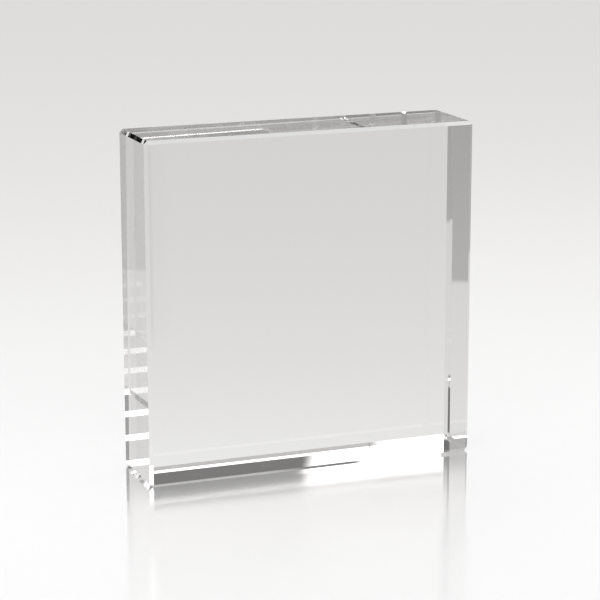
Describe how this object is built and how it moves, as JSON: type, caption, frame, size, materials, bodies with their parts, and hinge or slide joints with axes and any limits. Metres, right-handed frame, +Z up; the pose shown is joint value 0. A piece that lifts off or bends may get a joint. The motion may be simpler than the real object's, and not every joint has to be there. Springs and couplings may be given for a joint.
{
  "type": "acrylic block frame",
  "caption": "Solid clear acrylic display block: a square slab with polished flat-bevelled edges that stands on its narrow lower face and shows a print put on its rear face.",
  "frame": {"origin": "middle of the lower face, on the surface that the block stands on", "axes": "+Z up, +X to the right as seen from the front, +Y to the rear through the block's thickness"},
  "size_m": [0.1016, 0.0254, 0.1016],
  "materials": {
    "clear_acrylic": "clear colourless cast acrylic, polished on every face and bevel, refractive index 1.49"
  },
  "bodies": {
    "root": {"clear_block": "clear_acrylic"}
  },
  "joints": []
}
